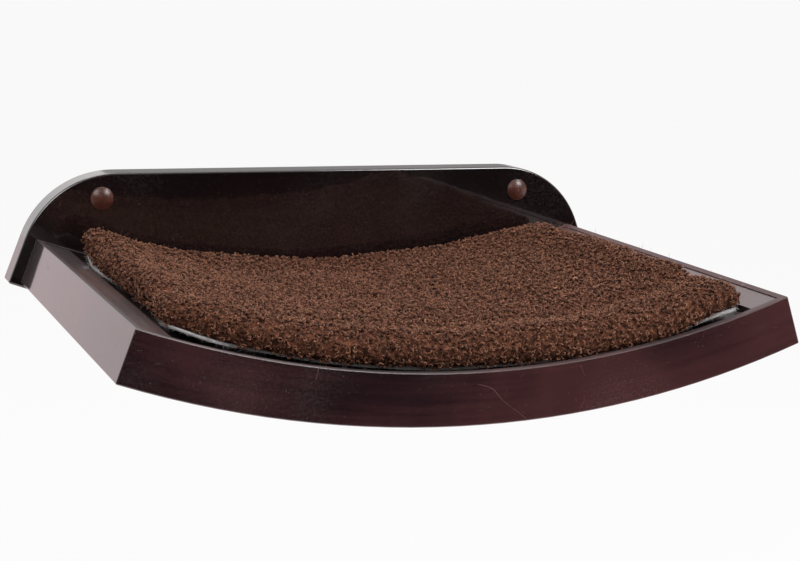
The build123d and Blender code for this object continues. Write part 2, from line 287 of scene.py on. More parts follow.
def board_wear(tree, place):
    """Where the tray's boards are dull: their upper edges, and a speckled line of dust in the
    joint with the backboard."""
    split = add(tree, "SeparateXYZ", {0: place}).outputs
    rim = step_between(tree, split["Z"], RIM_RADIUS + 0.0003, RIM_RADIUS + 0.0014, 1.0, 0.0)
    rim = sums(tree, "MULTIPLY", rim, step_between(tree, split["X"], -0.12, 0.08, 0.45, 0.95))
    joint = step_between(tree, split["Y"], WALL_FACE_Y - 0.0028, WALL_FACE_Y - 0.0010)
    grit = step_between(tree, noise(tree, place, 900.0, 2.0), 0.50, 0.60)
    return rim, sums(tree, "MULTIPLY", joint, grit)


def top_wear(tree, place):
    """Where the backboard is dull: its flat top, where dust lies."""
    split = add(tree, "SeparateXYZ", {0: place}).outputs
    flat = step_between(tree, split["Z"], BACKBOARD_TOP - 0.0010, BACKBOARD_TOP - 0.0003, 0.0, 0.75)
    return sums(tree, "MULTIPLY", flat, step_between(tree, split["X"], -0.26, -0.18, 0.2, 1.0)), 0.0


def lacquer(name, dark, warm, place_of, roughness, dusty, worn, coat=1.0, painted_light_slope=0.0, wear_of=None):
    """Stained wood under clear lacquer, between a dark and a warm tone, with dust and scratches.

    painted_light_slope is how much warmer and lighter the stain is painted for each metre to the right:
    painted light, standing in for the key lamp's stronger light on the right of the tray.
    """
    material, tree, shader = new_finish(name, Roughness=roughness, Coat_Weight=coat, Coat_Roughness=0.03,
                                        Coat_IOR=1.7, IOR=1.6)
    place = place_of(tree)
    cloud = noise(tree, place, 5.0, 3.0, 0.6)
    grain = noise(tree, stretched(tree, place, (9.0, 160.0, 260.0)), 1.0, 4.0, 0.4)
    # Painted light: the stain is painted lighter and warmer towards the right, where the key lamp's light
    # is stronger.
    right = sums(tree, "MULTIPLY", add(tree, "SeparateXYZ", {0: place}).outputs["X"], painted_light_slope)
    tone = sums(tree, "MULTIPLY_ADD", grain, 0.22, sums(tree, "MULTIPLY_ADD", cloud, 0.88, right))
    colour = mixed(tree, step_between(tree, tone, 0.38, 0.72), dark, warm)
    lines = hairlines(tree, stretched(tree, place, (0.7, 1.3, 1.0)), 11.0, 0.0030, worn)
    lines = sums(tree, "MAXIMUM", lines, hairlines(tree, place, 23.0, 0.0035, worn * 0.7))
    colour = mixed(tree, sums(tree, "MULTIPLY", lines, 0.55), colour, SCRATCH)
    film = sums(tree, "MULTIPLY", noise(tree, place, 620.0, 2.0), noise(tree, place, 14.0, 2.0))
    film = step_between(tree, film, 0.24, 0.46, 0.0, dusty)
    dots = sums(tree, "MAXIMUM", specks(tree, place, 520.0, 0.17, 0.14 * dusty),
                specks(tree, place, 230.0, 0.06, 0.10 * dusty))
    grime = sums(tree, "MAXIMUM", sums(tree, "MULTIPLY", film, 0.08), sums(tree, "MULTIPLY", dots, 0.45))
    rim, joint = wear_of(tree, place) if wear_of else (0.0, 0.0)
    grime = sums(tree, "MAXIMUM", grime, sums(tree, "MULTIPLY", joint, 0.7))
    wire(tree, shader, Base_Color=mixed(tree, grime, colour, DUST))
    dull = sums(tree, "MAXIMUM", sums(tree, "MULTIPLY", dots, 0.4), sums(tree, "MULTIPLY", lines, 0.5))
    dull = sums(tree, "MAXIMUM", dull, sums(tree, "MAXIMUM", rim, joint))
    wire(tree, shader, Roughness=sums(tree, "MULTIPLY_ADD", dull, 0.6, roughness))
    wire(tree, shader, Coat_Weight=sums(tree, "MULTIPLY_ADD", dull, -coat, coat))
    ripple = noise(tree, place, 75.0, 1.0)
    link_bump(tree, shader, ripple, RIPPLE)
    link_bump(tree, shader, ripple, COAT_RIPPLE, "Coat Normal")
    return material


def veil(material, weight, roughness, tint):
    """Lays a thin veil of dust over a finish: a sheen, which shows at a low angle."""
    sockets = material.node_tree.nodes["Principled BSDF"].inputs
    for name, value in (("Weight", weight), ("Roughness", roughness), ("Tint", (*tint, 1.0))):
        sockets["Sheen " + name].default_value = value


# The tray's boards get a painted light slope: lighter and warmer towards the right.
board_lacquer = lacquer("board_lacquer", (0.0150, 0.0068, 0.0085), (0.071, 0.0250, 0.0260),
                        along_the_curve, 0.12, 0.8, 0.42, painted_light_slope=0.6, wear_of=board_wear)
veil(board_lacquer, 0.16, 0.3, (1.0, 0.86, 0.88))
face_lacquer = lacquer("backboard_lacquer", (0.0045, 0.0028, 0.0032), (0.0090, 0.0042, 0.0045),
                       straight_place, 0.18, 0.5, 0.2, wear_of=top_wear)
bed_lacquer = lacquer("bed_lacquer", (0.012, 0.006, 0.006), (0.024, 0.010, 0.009),
                      along_the_curve, 0.5, 0.3, 0.3, 0.15)
panel_lacquer = lacquer("panel_lacquer", (0.026, 0.011, 0.011), (0.050, 0.018, 0.015),
                        along_the_curve, 0.35, 0.3, 0.3, 0.4)
print("lacquers:", board_lacquer.name, face_lacquer.name, bed_lacquer.name, panel_lacquer.name)

# %% [markdown]
# ## Bare wood, zinc and the button caps
#
# Inside the tray the ribs are unfinished plywood, whose thin layers show as stripes, and two
# beech dowels line the tray up with the backboard. The screws have a bright zinc coat, which
# is metal with a fine brushed streak and a slight rainbow of warm and cool. The button caps
# are turned wood under a redder, thinner lacquer.

# %% Bare wood
PLY_PAIR = 0.0015 * np.pi  # a light and a dark layer together, nearly 5 mm
WAVE_LENGTH = np.pi / 10  # of a wave texture at scale 1


def plywood():
    """Layers of veneer: light and dark stripes one above the other, under a fine grain."""
    material, tree, shader = new_finish("bare_plywood", Roughness=0.75)
    place = along_the_curve(tree)
    bands = {"Vector": place, "Scale": WAVE_LENGTH / PLY_PAIR, "Distortion": 0.6, "Detail": 2.0}
    layer = add(tree, "TexWave", bands, bands_direction="Z", wave_profile="TRI").outputs["Fac"]
    grain = noise(tree, stretched(tree, place, (400.0, 30.0, 400.0)), 1.0, 3.0)
    colour = mixed(tree, step_between(tree, layer, 0.3, 0.7), (0.34, 0.20, 0.10), (0.56, 0.38, 0.22))
    colour = mixed(tree, step_between(tree, grain, 0.3, 0.7, 0.0, 0.4), colour, (0.24, 0.13, 0.06))
    wire(tree, shader, Base_Color=colour)
    link_bump(tree, shader, grain, 0.0001)
    return material


def flecks(tree, place):
    """Short dark flecks along the dowel."""
    return noise(tree, stretched(tree, place, (900.0, 120.0, 900.0)), 1.0, 2.0)


bare_plywood = plywood()
beech = patterned("beech", straight_place, flecks, (0.5, 0.7),
                  ((0.52, 0.33, 0.19), (0.30, 0.16, 0.08)), 0.00005, Roughness=0.6)
print("bare woods:", bare_plywood.name, beech.name)

# %% Zinc and caps


def zinc_coat():
    """Bright metal: brushed streaks in its roughness, and clouds of warmer and cooler metal."""
    material, tree, shader = new_finish("zinc_plate", Metallic=1.0)
    place = straight_place(tree)
    cloud = noise(tree, place, 120.0, 2.0)
    streak = noise(tree, stretched(tree, place, (2500.0, 180.0, 2500.0)), 1.0, 2.0)
    colour = mixed(tree, step_between(tree, cloud, 0.35, 0.65), (0.62, 0.60, 0.54), (0.66, 0.68, 0.72))
    wire(tree, shader, Base_Color=colour, Roughness=step_between(tree, streak, 0.3, 0.7, 0.22, 0.42))
    link_bump(tree, shader, streak, 0.00002)
    return material


def cap_finish():
    """Thin red-brown lacquer over turned wood, with the grain across the dome."""
    material, tree, shader = new_finish("cap_lacquer", Coat_Weight=0.35, Coat_Roughness=0.25)
    place = straight_place(tree)
    grain = noise(tree, stretched(tree, place, (90.0, 700.0, 700.0)), 1.0, 3.0, 0.5)
    cloud = noise(tree, place, 140.0, 2.0)
    dark, light = (0.060, 0.0165, 0.0100), (0.098, 0.0290, 0.0180)
    colour = mixed(tree, step_between(tree, cloud, 0.3, 0.7), dark, light)
    colour = mixed(tree, step_between(tree, grain, 0.45, 0.75, 0.0, 0.5), colour, (0.040, 0.0105, 0.0075))
    dots = specks(tree, place, 700.0, 0.16, 0.1)
    wire(tree, shader, Base_Color=mixed(tree, sums(tree, "MULTIPLY", dots, 0.5), colour, DUST))
    wire(tree, shader, Roughness=step_between(tree, grain, 0.3, 0.8, 0.28, 0.42))
    link_bump(tree, shader, grain, 0.00008)
    return material


zinc, cap_lacquer = zinc_coat(), cap_finish()
print("metal and caps:", zinc.name, cap_lacquer.name)

# %% [markdown]
# ## Cloths
#
# Four pairs of touch patches keep the pad from sliding: stiff hook tape on the bed, soft loop
# tape under the pad. The pad's base is pale felt, a mat of fibres with no weave, so it is a noise
# at two scales with a soft bump. Its cover is dark curly fleece. The cloth under the pile is
# painted darker than the curls, a painted shade that makes the gaps among them look deep.

# %% Tape, felt and foam
HOOK_PITCH = 0.0016


def hook_dots(tree, place):
    """Rows of tiny hooks: a dot in each cell of a fine grid."""
    cells = add(tree, "TexVoronoi", {"Vector": place, "Scale": 1.0 / HOOK_PITCH, "Randomness": 0.25})
    return step_between(tree, cells.outputs["Distance"], 0.15, 0.45, 1.0, 0.0)


def brushed_loops(tree, place):
    """A brushed mat of loops."""
    return noise(tree, place, 1500.0, 4.0, 1.5)


def pressed_fibres(tree, place):
    """Pressed fibres: a fine and a coarse noise."""
    fibre = noise(tree, place, 1400.0, 4.0, 2.0)
    mat = noise(tree, place, 160.0, 3.0, 0.5)
    return sums(tree, "MULTIPLY_ADD", fibre, 0.6, sums(tree, "MULTIPLY", mat, 0.4))


def cut_cells(tree, place):
    """Open cells cut across: small pits of many sizes."""
    cells = add(tree, "TexVoronoi", {"Vector": place, "Scale": 700.0}).outputs["Distance"]
    return sums(tree, "MULTIPLY", cells, noise(tree, place, 900.0, 2.0))


hooks = patterned("hook_tape", along_the_curve, hook_dots, None,
                  ((0.010, 0.010, 0.011), (0.055, 0.053, 0.053)), 0.0006, Roughness=0.55)
loops = patterned("loop_tape", along_the_curve, brushed_loops, None,
                  ((0.008, 0.008, 0.008), (0.075, 0.07, 0.068)), 0.0005,
                  Roughness=0.95, Sheen_Weight=0.4)
felt = patterned("felt", straight_place, pressed_fibres, (0.3, 0.7),
                 ((0.26, 0.245, 0.245), (0.60, 0.575, 0.57)), 0.0008,
                 Roughness=1.0, Sheen_Weight=0.25, Sheen_Roughness=0.6)
foam = patterned("foam", straight_place, cut_cells, (0.05, 0.4),
                 ((0.45, 0.40, 0.28), (0.76, 0.72, 0.58)), 0.0005, Roughness=0.9)
print("cloths:", hooks.name, loops.name, felt.name, foam.name)

# %% Fleece
# Painted shade: the darkest tone, for the roots of the curls and the cloth under them, stands in for the
# shade deep in the pile.
PAINTED_ROOT_SHADE = (0.024, 0.0085, 0.0052)
DARK_TONE = (0.070, 0.0250, 0.0145)
MIDDLE_TONE = (0.215, 0.0850, 0.0490)
TIP_TONE = (0.440, 0.2350, 0.1450)
CURL_MAP = "OFBake"  # the curls' own map: tone across, root to tip upwards


def root_wool(tree, place):
    """The knitted ground of the fleece: clumps of root wool, large and small."""
    clump = noise(tree, place, 260.0, 3.0, 0.8)
    fine = noise(tree, place, 1300.0, 3.0, 1.0)
    return sums(tree, "MULTIPLY_ADD", clump, 0.6, sums(tree, "MULTIPLY", fine, 0.4))


def curl_wool():
    """Wool of the curls. Across the map goes a curl's tone, and up it a painted shade darkens the root and
    a painted highlight lightens the tip.
    """
    material, tree, shader = new_finish("fleece_curls", Roughness=0.7, Specular_IOR_Level=0.22)
    place = add(tree, "UVMap", uv_map=CURL_MAP).outputs["UV"]
    split = add(tree, "SeparateXYZ", {0: place}).outputs
    body = mixed(tree, step_between(tree, split["X"], 0.05, 0.75), DARK_TONE, MIDDLE_TONE)
    body = mixed(tree, step_between(tree, split["X"], 0.78, 1.0), body, TIP_TONE)
    # Painted shade: each curl is painted darker towards its root.
    root_shaded = mixed(tree, step_between(tree, split["Y"], 0.05, 0.55), PAINTED_ROOT_SHADE, body)
    # Painted highlight: each curl is painted lighter towards its tip.
    tip = step_between(tree, split["Y"], 0.6, 1.0, 0.0, 0.45)
    wire(tree, shader, Base_Color=mixed(tree, tip, root_shaded, TIP_TONE))
    return material


# The cloth under the pile is painted dark between its clumps: a painted shade in the gaps among the curls.
fleece_ground = patterned("fleece_ground", straight_place, root_wool, (0.35, 0.68),
                          (PAINTED_ROOT_SHADE, MIDDLE_TONE), 0.0025, Roughness=1.0, Specular_IOR_Level=0.1)
fleece_curls = curl_wool()
print("fleece:", fleece_ground.name, fleece_curls.name)

# %% [markdown]
# ## Dressing the boards
#
# The boards, panels, screws and caps have their right shape already, so they only get their
# finish. Their meshes stay as they are.

# %% Finishes of the exact pieces
FINISHES = {
    board_lacquer: ["front_board", "left_end_board", "right_end_board", "rear_board",
                    "left_end_rail", "right_end_rail"],
    face_lacquer: ["backboard"],
    bed_lacquer: ["bed_panel"],
    panel_lacquer: ["bottom_panel"],
    bare_plywood: ["left_rib", "centre_rib", "right_rib"],
    beech: ["tray_dowels"],
    zinc: ["tray_screws", "bottom_screws", "left_wall_washer", "right_wall_washer"],
    cap_lacquer: ["left_screw_cap", "right_screw_cap"],
    hooks: ["hook_patches"],
    loops: ["loop_patches"],
}
for finish, names in FINISHES.items():
    for name in names:
        slots = nodes[name].data.materials
        slots.clear()
        slots.append(finish)
print("dressed", sum(map(len, FINISHES.values())), "pieces")

# %% [markdown]
# ## Meshes from arrays
#
# The new pieces are surfaces worked out as whole arrays of points. A grid of points becomes a
# mesh by joining each point to its neighbours, round the piece and along it, and closing both
# ends on one point each. If the volume comes out negative, the faces look inwards, so they
# are turned round.

# %% Helpers for surfaces


def mesh_from(name, points, face_sets):
    """Mesh from points and arrays of faces, with one face a row, turned to face outwards."""
    three = np.concatenate([faces[:, [0, i, i + 1]] for faces in face_sets
                            for i in range(1, faces.shape[1] - 1)])
    a, b, c = (points[three[:, i]] for i in range(3))
    if (a * np.cross(b, c)).sum() < 0:
        face_sets = [faces[:, ::-1] for faces in face_sets]
    corners = np.concatenate([faces.ravel() for faces in face_sets]).astype(np.int32)
    sizes = np.concatenate([np.full(len(faces), faces.shape[1]) for faces in face_sets])
    mesh = bpy.data.meshes.new(name)
    mesh.vertices.add(len(points))
    mesh.vertices.foreach_set("co", points.astype(np.float32).ravel())
    mesh.loops.add(len(corners))
    mesh.loops.foreach_set("vertex_index", corners)
    mesh.polygons.add(len(sizes))
    mesh.polygons.foreach_set("loop_start", (np.cumsum(sizes) - sizes).astype(np.int32))
    mesh.update(calc_edges=True)
    mesh.polygons.foreach_set("use_smooth", np.ones(len(sizes), bool))
    return mesh


def closed_grid(rows, around):
    """Faces of a grid of points that goes round and ends on a pole at its start and its end.

    The points are in rows, each row once round, followed by the first pole and the last pole.
    """
    row, turn = np.meshgrid(np.arange(rows - 1), np.arange(around), indexing="ij")
    after = (turn + 1) % around
    quads = np.stack([row * around + turn, row * around + after,
                      (row + 1) * around + after, (row + 1) * around + turn], -1).reshape(-1, 4)
    turn = np.arange(around)
    after = (turn + 1) % around
    first, last = rows * around, rows * around + 1
    start = np.stack([after, turn, np.full(around, first)], -1)
    end = np.stack([(rows - 1) * around + turn, (rows - 1) * around + after, np.full(around, last)], -1)
    return [quads, np.concatenate([start, end])]


def new_piece(name, mesh, finish, body):
    """Puts a mesh in the scene with its finish, riding on a body of the construction model."""
    piece = bpy.data.objects.new(name, mesh)
    scene.collection.objects.link(piece)
    mesh.materials.append(finish)
    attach(piece, body)
    return piece


# %% [markdown]
# ## Wall screws
#
# A wall screw is a steel rod with a hexagon head, a plain neck through the backboard and a
# coarse thread that bites into the wall. One grid makes all of it: the radius is a function
# of the way along the screw and the turn round it. A thread is a ridge whose place moves
# along by one pitch for each turn, so it depends on length divided by pitch less the turn.

# %% Threaded wall screws
HEX_FLAT = 0.0055  # from the axis to each flat
HEAD = 0.0045
NECK = 0.0032
THREAD = 0.0029
CORE = 0.0021
PITCH = 0.0026
POINT = 0.008
TIP = 0.0006
CHAMFER, CHAMFER_SLOPE = 0.96, 2.2  # where the head's cone starts, as a share of the flat
HEAD_RINGS, NECK_RINGS, THREAD_RINGS, SCREW_SIDES = 6, 6, 300, 48


def head_radius(turn, y):
    """A hexagon, cut back to a cone near its outer face as a turned chamfer does."""
    flat = HEX_FLAT / np.cos((turn + np.pi / 6) % (np.pi / 3) - np.pi / 6)
    return np.minimum(flat, HEX_FLAT * CHAMFER + y * CHAMFER_SLOPE)


def thread_radius(turn, y, length):
    """Core plus a sharp ridge that winds along, fading in at the neck, all tapered at the tip."""
    phase = (y / PITCH - turn / (2 * np.pi)) % 1.0
    ridge = (1.0 - np.abs(2.0 * phase - 1.0)) ** 1.6
    grown = np.clip(y / PITCH, 0.0, 1.0)
    taper = np.clip((length - y) / POINT, 0.0, 1.0)
    return TIP + (CORE - TIP + (THREAD - CORE) * ridge * grown) * taper


def wall_screw(name, node):
    low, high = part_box(node)
    turn = np.arange(SCREW_SIDES) * 2 * np.pi / SCREW_SIDES
    thread_length = high.y
    head_y = np.linspace(0.0, HEAD, HEAD_RINGS)
    neck_y = np.linspace(HEAD, -low.y, NECK_RINGS)
    thread_y = np.linspace(0.0, thread_length, THREAD_RINGS)
    radii = [head_radius(turn[None], head_y[:, None]),
             np.full((NECK_RINGS, SCREW_SIDES), NECK),
             thread_radius(turn[None], thread_y[:, None], thread_length)]
    along = np.concatenate([low.y + head_y, low.y + neck_y, thread_y])
    radius = np.concatenate(radii)
    x = (low.x + high.x) / 2 + radius * np.cos(turn)
    z = (low.z + high.z) / 2 + radius * np.sin(turn)
    y = np.broadcast_to(along[:, None], x.shape)
    grid = np.stack([x, y, z], -1).reshape(-1, 3)
    middle = ((low.x + high.x) / 2, (low.z + high.z) / 2)
    poles = np.array([[middle[0], low.y, middle[1]], [middle[0], high.y, middle[1]]])
    mesh = mesh_from(name, np.concatenate([grid, poles]), closed_grid(len(along), SCREW_SIDES))
    mesh.set_sharp_from_angle(angle=np.radians(40))
    piece = new_piece(name, mesh, zinc, "tray")
    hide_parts(node)
    print(name, "with", round(thread_length / PITCH, 1), "turns of thread")


for side in ("left", "right"):
    wall_screw(side + "_lag_screw", side + "_wall_screw")

# %% [markdown]
# ## The pad's shape
#
# The pad is a stuffed cushion: its plan is a square with round corners, fitted to the bed.
# Its front edge is drawn back at the left corner, its rear edge turns away from the wall at
# the left, and its sides pull in a little in the middle. Going from the middle of its
# underside, round the edge and back to the middle of its top, each ring of the plan gets a
# height. The top has a soft roll all round, a crease behind the front roll and a hollow in the
# middle, and near three corners the pad has lifted a little.

# %% The pad's plan
PAD_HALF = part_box("pad_cover")[1].x
PAD_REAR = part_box("pad_cover")[1].y
FRONT_GAP_LEFT, FRONT_GAP_MIDDLE, FRONT_GAP_RIGHT = 0.040, 0.0035, 0.0012
SIDE_DRAW = 0.003
CORNER = 0.05  # the corners' radius, as a share of half the pad
REAR_TURN = 0.030  # how far the rear edge turns away at its left end
TURN_FROM, TURN_OVER = 0.70, 0.30  # where that turn starts and how long it is, of half the pad
AROUND = 320


def round_square(count, corner):
    """Points once round a square from -1 to 1 with round corners.

    The square's own outline is pulled in to a smaller square, and each point is then pushed
    out again by the corner's radius, straight away from that smaller square.
    """
    way = np.arange(count) * 4.0 / count
    a = np.interp(way, range(5), [-1, 1, 1, -1, -1])
    b = np.interp(way, range(5), [-1, -1, 1, 1, -1])
    square = np.stack([a, b], -1)
    inner = np.clip(square, corner - 1.0, 1.0 - corner)
    out = square - inner
    return inner + corner * out / np.linalg.norm(out, axis=-1, keepdims=True)


def front_edge(x):
    """y of the pad's front edge: a parabola through the gaps at its ends and middle, plus waves."""
    a = x / PAD_HALF
    mean = (FRONT_GAP_LEFT + FRONT_GAP_RIGHT) / 2
    lean = (FRONT_GAP_RIGHT - FRONT_GAP_LEFT) / 2
    wave = 0.0016 * np.sin(31.0 * x + 0.6) + 0.0012 * np.sin(67.0 * x)
    return INNER_FRONT_Y + FRONT_GAP_MIDDLE + lean * a + (mean - FRONT_GAP_MIDDLE) * a**2 + wave


def rear_edge(x):
    """y of the pad's rear edge, which turns away from the wall towards its left corner."""
    turn = np.clip((-x / PAD_HALF - TURN_FROM) / TURN_OVER, 0.0, 1.0)
    return PAD_REAR - REAR_TURN * turn**2


def pad_place(a, b, inset):
    """x and y of a place in the pad, for a and b from -1 to 1 across it and out from the wall."""
    x = a * (PAD_HALF - inset - SIDE_DRAW * (1.0 - b**2))
    rear, front = rear_edge(x) - inset, front_edge(x) + inset
    return x, rear + (front - rear) * (1.0 + b) / 2.0


print("pad's plan:", round(2 * PAD_HALF, 3), "m across")

# %% The pad's heights
HOLLOW = 0.0160  # thickness in the middle, over the felt
ROLL = 0.0065  # how much thicker the roll along the edges is
ROLL_IN = 0.019  # from the edge to the top of the roll
ROLL_WIDTH = 0.019
CREASE_IN = 0.066  # from the front edge to the crease behind its roll
CREASE = 0.0068
CREASE_WIDTH = 0.012
SOFT_CORNER = 0.012  # over this length, two edges that meet count as one
CURLS_UP = (  # corner or edge that has lifted: x, y, how high, how wide
    (0.205, INNER_FRONT_Y, 0.0055, 0.030),
    (-0.228, PAD_REAR - 0.029, 0.0110, 0.030),
    (-0.225, INNER_FRONT_Y + 0.035, 0.0035, 0.028),
)


def near_edge(x, y):
    """Distance to the nearest edge of the pad, rounded off where two edges are as near."""
    ways = np.stack([y - front_edge(x), rear_edge(x) - y, PAD_HALF - x, PAD_HALF + x])
    return -SOFT_CORNER * np.log(np.exp(-ways / SOFT_CORNER).sum(0))


def pad_height(x, y):
    """Height of the cloth over the seat: hollow, roll along the edges, less the crease, and waves."""
    roll = np.exp(-(((near_edge(x, y) - ROLL_IN) / ROLL_WIDTH) ** 2))
    full = 1.0 + 0.12 * np.sin(9.0 * x + 1.0) + 0.10 * np.sin(23.0 * x + 11.0 * y)
    behind = y - front_edge(x) - CREASE_IN - 0.006 * np.sin(14.0 * x)
    crease = CREASE * np.exp(-((behind / CREASE_WIDTH) ** 2)) * (0.35 + 0.65 * np.abs(x) / PAD_HALF)
    waves = 0.0008 * np.sin(52.0 * x + 20.0 * y) + 0.0007 * np.sin(47.0 * y - 21.0 * x + 2.0)
    return HOLLOW + ROLL * full * roll - crease + waves


def curled_up(x, y):
    """How far the pad has lifted off the bed: a round hill at each lifted place."""
    hills = [rise * np.exp(-((x - at_x) ** 2 + (y - at_y) ** 2) / wide**2)
             for at_x, at_y, rise, wide in CURLS_UP]
    return sum(hills)


def cushion(name, inset, low, high, edge, rings=40, edge_rings=13):
    """Closed cushion over the pad's plan, between the heights low and high over its seat.

    Rows run from the middle of the underside, round the edge as half a circle, to the middle
    of the top. inset is a length, or a function of the place in the pad, and high is a height,
    or a function of x and y.
    """
    flat = np.linspace(0.02, 1.0 - edge, rings)
    bend = np.linspace(-np.pi / 2, np.pi / 2, edge_rings)[1:-1]
    out = np.concatenate([flat, 1.0 - edge + edge * np.cos(bend), flat[::-1]])
    rise = np.concatenate([0.0 * flat, (1.0 + np.sin(bend)) / 2.0, 0.0 * flat + 1.0])
    plan = round_square(AROUND, CORNER)
    a, b = (np.append(out[:, None] * plan[:, i], [0.0, 0.0]) for i in range(2))
    rise = np.append(np.repeat(rise, AROUND), [0.0, 1.0])
    x, y = pad_place(a, b, inset(a, b) if callable(inset) else inset)
    top = high(x, y) if callable(high) else high
    height = low + (top - low) * rise + curled_up(x, y)
    points = np.stack([x, y, height_on_curve(x, height)], -1)
    return mesh_from(name, points, closed_grid(len(out), AROUND))


print("pad thickness from", HOLLOW, "to", HOLLOW + ROLL)

# %% [markdown]
# ## Felt base and foam core
#
# Under the fleece lies a thin sheet of pale felt, which shows as a light line near the lifted
# corners. The foam inside can't be seen, but it is there, 14 mm in from the cover's edge and
# 8 mm under its top. Both are the same cushion surface with other heights and insets.

# %% Felt and foam
FELT_THICK = 0.0025
FELT_TOP = -0.0001
FELT_EDGE = 0.006  # its rounded rim, as a share of half the pad
FELT_INSET = 0.0130  # inside the pad's plan
FELT_OUT = 0.0125  # how much less that is where the felt shows
FELT_SHOWS = (  # x, y, width across
    (-0.212, -0.362, 0.030),
    (0.214, -0.392, 0.024),
    (-0.228, -0.105, 0.012),
)
SHOWS_DEEP = 0.06  # the same places' width, out from the wall
FOAM_INSET, FOAM_EDGE = 0.014, 0.09
FOAM_BOTTOM = 0.003
FOAM_UNDER = 0.008  # from the cover's top down to the foam's


def felt_inset(a, b):
    """How far the felt stays inside the pad's plan: 13 mm, and less where it shows."""
    x, y = pad_place(a, b, 0.0)
    shown = [np.exp(-((x - at_x) ** 2) / wide**2 - ((y - at_y) / SHOWS_DEEP) ** 2)
             for at_x, at_y, wide in FELT_SHOWS]
    return FELT_INSET - FELT_OUT * np.clip(sum(shown), 0.0, 1.0)


def foam_top(x, y):
    return pad_height(x, y) - FOAM_UNDER


felt_mesh = cushion("felt_base", felt_inset, -FELT_THICK, FELT_TOP, FELT_EDGE)
felt_base = new_piece("felt_base", felt_mesh, felt, "pad")
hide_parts("pad_base")

foam_mesh = cushion("foam_core", FOAM_INSET, FOAM_BOTTOM, foam_top, FOAM_EDGE)
foam_core = new_piece("foam_core", foam_mesh, foam, "pad")
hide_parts("pad_core")
print("felt base and foam core:", len(felt_base.data.vertices), len(foam_core.data.vertices), "points")

# %% [markdown]
# ## Stuffing the cover
#
# A sewn cover isn't a smooth surface: the filling pushes it out between its edges and the
# cloth takes small wrinkles. Blender's cloth solver does that. The surface is remeshed into
# even squares, and a pressure inside blows it up for twenty frames with gravity off. The
# further a point has moved, the more of its way is taken back, so that none goes further than
# a few millimetres and the pad keeps its shape.

# %% Cloth simulation of the cover
COVER_INSET, COVER_BOTTOM, COVER_EDGE = 0.0018, 0.0003, 0.042
SKIN = 0.0055  # size of the even squares
PRESSURE = 1.0
FRAMES = 20
MOST_MOVE = 0.0035


def points_of(mesh):
    points = np.empty(len(mesh.vertices) * 3, np.float32)
    mesh.vertices.foreach_get("co", points)
    return points.reshape(-1, 3)


def make_real(piece):
    """Swaps a piece's mesh for what its modifiers make of it, and takes the modifiers off."""
    graph = bpy.context.evaluated_depsgraph_get()
    shaped = bpy.data.meshes.new_from_object(piece.evaluated_get(graph))
    piece.modifiers.clear()
    old, piece.data = piece.data, shaped
    bpy.data.meshes.remove(old)


def clear_of_wood(points):
    """Keeps soft points off the boards and the bed.

    Outside the bed a point comes up to just over the rim's circle, and inside it to just over
    the bed's, by moving it towards the curve's centre. No point passes the backboard's face.
    """
    x, y, z = points.T
    radius = np.hypot(x, CURVE_Z - z)
    outside = (np.abs(x) > BED_EDGE_X - EDGE_ROOM) | (y < INNER_FRONT_Y + EDGE_ROOM)
    share = np.minimum(1.0, (np.where(outside, RIM_RADIUS, BED_RADIUS) - HAIR) / radius)
    return np.stack([x * share, np.minimum(y, WALL_FACE_Y - HAIR), CURVE_Z - (CURVE_Z - z) * share], -1)


def above_felt(points, gap):
    """Keeps points a gap over the felt's top, which curls up with the pad."""
    x, y, z = points.T
    return np.stack([x, y, np.maximum(z, height_on_curve(x, curled_up(x, y) + gap))], -1)


cover_mesh = cushion("fleece_cover", COVER_INSET, COVER_BOTTOM, pad_height, COVER_EDGE)
cover = new_piece("fleece_cover", cover_mesh, fleece_ground, "pad")
skin = cover.modifiers.new("skin", "REMESH")
skin.mode, skin.voxel_size = "VOXEL", SKIN
make_real(cover)
still = points_of(cover.data)
cloth = cover.modifiers.new("cloth", "CLOTH")
cloth.settings.quality = 6
cloth.settings.use_pressure = True
cloth.settings.uniform_pressure_force = PRESSURE
cloth.settings.effector_weights.gravity = 0.0
for number in range(1, FRAMES + 1):
    scene.frame_set(number)
make_real(cover)
scene.frame_set(1)
moved = points_of(cover.data) - still
length = np.linalg.norm(moved, axis=1, keepdims=True)
moved *= MOST_MOVE / (MOST_MOVE + length)
stuffed = above_felt(clear_of_wood(still + moved), 0.0002)
cover.data.vertices.foreach_set("co", stuffed.astype(np.float32).ravel())
farthest = round(float(length.max()) * 1000, 1)
print("cover has", len(still), "points; before the limit the stuffing moved them up to", farthest, "mm")

# %% [markdown]
# ## Lumps in the cover
#
# Curly fleece isn't even: its wool gathers in lumps of five to six millimetres. One
# subdivision gives the cover enough points for them. Four slanted waves of the same length,
# slightly bent, add up to an uneven pattern of hills, because their crests meet in a different
# place each time.

# %% Subdivide and raise the lumps
LUMP = 0.0056  # from one lump to the next
LUMP_HEIGHT = 0.0011


def lumps(points):
    """Hills from -1 to 1: the mean of four cosine waves in scattered directions, slightly bent."""
    bend = 0.35 * np.sin(points[:, [1, 0, 0]] * 140.0)
    ways = np.array([[1.0, 0.2, 0.4], [-0.4, 1.0, 0.3], [0.6, -0.8, 0.5], [0.1, 0.5, -1.0]])
    ways /= np.linalg.norm(ways, axis=1, keepdims=True)
    phase = points @ ways.T * (2 * np.pi / LUMP) + bend.sum(1, keepdims=True)
    return np.cos(phase).mean(1)


